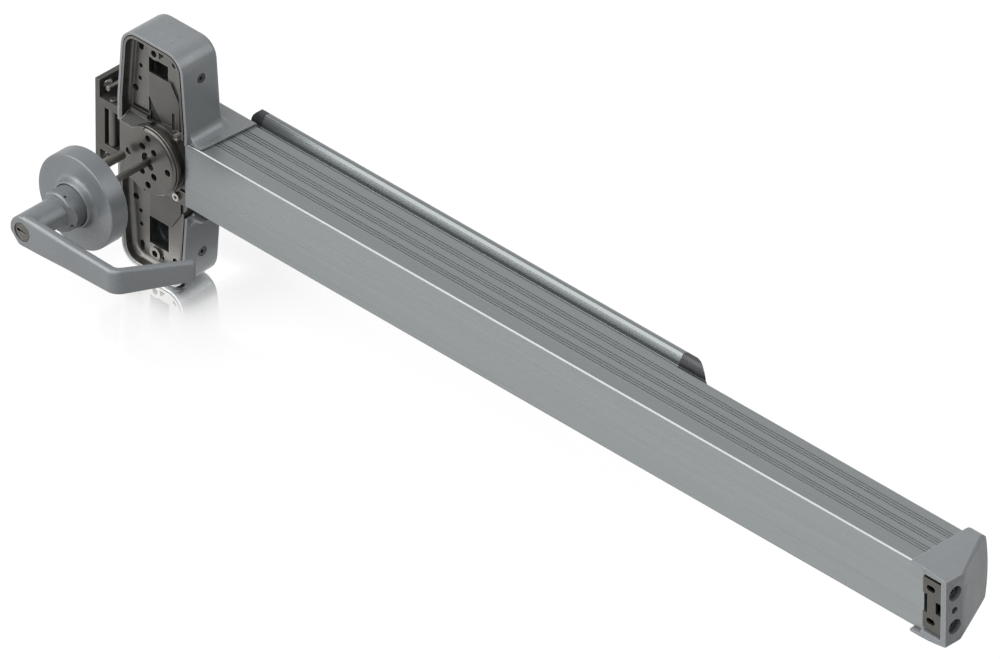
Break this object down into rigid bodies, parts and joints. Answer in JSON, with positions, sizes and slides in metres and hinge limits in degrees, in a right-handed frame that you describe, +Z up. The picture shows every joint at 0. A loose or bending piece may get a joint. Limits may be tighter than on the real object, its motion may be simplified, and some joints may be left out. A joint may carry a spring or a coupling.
{
  "type": "panic bar",
  "caption": "Rim exit device: push bar in a grooved rail, latch head, roller strike and an outside lever trim.",
  "frame": {"origin": "trim axis at the inside face of the door, the centre of the inner trim holes", "axes": "+X along the bar to its end cap, +Y from the door into the room, +Z up"},
  "size_m": [0.8798, 0.2115, 0.2088],
  "materials": {
    "cast": "satin painted casting",
    "bar": "brushed extrusion, anodised",
    "steel": "plain finished steel",
    "dark_steel": "dark zinc finished steel",
    "bright_steel": "bright steel",
    "black_plastic": "moulded, fine grain",
    "brass": "nickel plated brass"
  },
  "bodies": {
    "frame": {"head_cover": "cast", "cover_screws": "steel", "bottom_plug": "black_plastic", "chassis_tray": "dark_steel", "trim_plate": "steel", "upper_backing_plate": "steel", "lower_backing_plate": "steel", "latch_case": "steel", "latch_pin": "bright_steel", "latch_spring": "bright_steel", "rail_bracket": "steel", "bracket_screws": "bright_steel", "rail_housing": "bar", "rail_filler": "bar", "base_plate": "steel", "crank_bracket_left": "steel", "crank_bracket_right": "steel", "crank_pins": "bright_steel", "rod_spring": "bright_steel", "spring_bracket": "steel", "end_bracket": "dark_steel", "end_cap": "cast", "end_cap_screws": "steel", "strike_body": "dark_steel", "roller_pin": "bright_steel", "strike_screws": "bright_steel", "rose": "cast", "rose_liner": "steel", "lever_spring": "bright_steel", "mounting_posts": "bright_steel", "through_bolts": "steel"},
    "push_pad": {"push_pad": "bar", "pad_cap_left": "black_plastic", "pad_cap_right": "black_plastic", "pad_bracket_left": "steel", "pad_bracket_right": "steel", "pad_pins": "bright_steel"},
    "bell_crank_left": {"bell_crank_left": "bright_steel"},
    "bell_crank_right": {"bell_crank_right": "bright_steel"},
    "actuator": {"actuator_rod": "steel", "rod_pins": "bright_steel", "latch_retractor": "steel"},
    "latch": {"latch_bolt": "bright_steel", "latch_draw_pin": "bright_steel"},
    "lever": {"lever": "cast", "lever_set_screw": "steel", "key_cylinder": "brass", "spindle": "bright_steel"},
    "key_plug": {"key_plug": "brass"},
    "trim_cam": {"trim_cam": "bright_steel"},
    "strike_roller": {"strike_roller": "bright_steel"}
  },
  "joints": [
    {"name": "pad_slide", "type": "slide", "parent": "frame", "child": "push_pad", "axis": [0, -1, 0], "range_m": [0, 0.012], "stiffness_N_per_m": 2000, "springref_m": -0.01},
    {"name": "crank_left_pivot", "type": "hinge", "parent": "frame", "child": "bell_crank_left", "pos_m": [0.15, 0.03105, 0], "axis": [0, 0, 1], "range_deg": [0, 36.01]},
    {"name": "crank_right_pivot", "type": "hinge", "parent": "frame", "child": "bell_crank_right", "pos_m": [0.395, 0.03105, 0], "axis": [0, 0, 1], "range_deg": [0, 36.01]},
    {"name": "rod_slide", "type": "slide", "parent": "frame", "child": "actuator", "axis": [1, 0, 0], "range_m": [0, 0.01108], "deforming": ["rod_spring"]},
    {"name": "latch_turn", "type": "hinge", "parent": "frame", "child": "latch", "pos_m": [-0.014, 0.017, 0], "axis": [0, 0, -1], "range_deg": [0, 55.01]},
    {"name": "lever_turn", "type": "hinge", "parent": "frame", "child": "lever", "pos_m": [0, -0.1, 0], "axis": [0, 1, 0], "range_deg": [0, 50], "stiffness_Nm_per_rad": 1.5, "springref_deg": -17.19},
    {"name": "cam_turn", "type": "hinge", "parent": "frame", "child": "trim_cam", "pos_m": [0, 0.003, 0], "axis": [0, 1, 0], "range_deg": [0, 50]},
    {"name": "key_turn", "type": "hinge", "parent": "lever", "child": "key_plug", "pos_m": [0, -0.12, 0], "axis": [0, 1, 0], "range_deg": [-90, 90]},
    {"name": "roller_turn", "type": "hinge", "parent": "frame", "child": "strike_roller", "pos_m": [-0.051, 0.011, 0], "axis": [0, 0, 1], "continuous": true}
  ],
  "couplings": [
    {"joint": "crank_left_pivot", "follows": "pad_slide", "rad_per_m": 52.36},
    {"joint": "crank_right_pivot", "follows": "pad_slide", "rad_per_m": 52.36},
    {"joint": "rod_slide", "follows": "pad_slide", "ratio": 0.9235},
    {"joint": "latch_turn", "follows": "pad_slide", "rad_per_m": 79.994},
    {"joint": "cam_turn", "follows": "lever_turn", "ratio": 1}
  ]
}
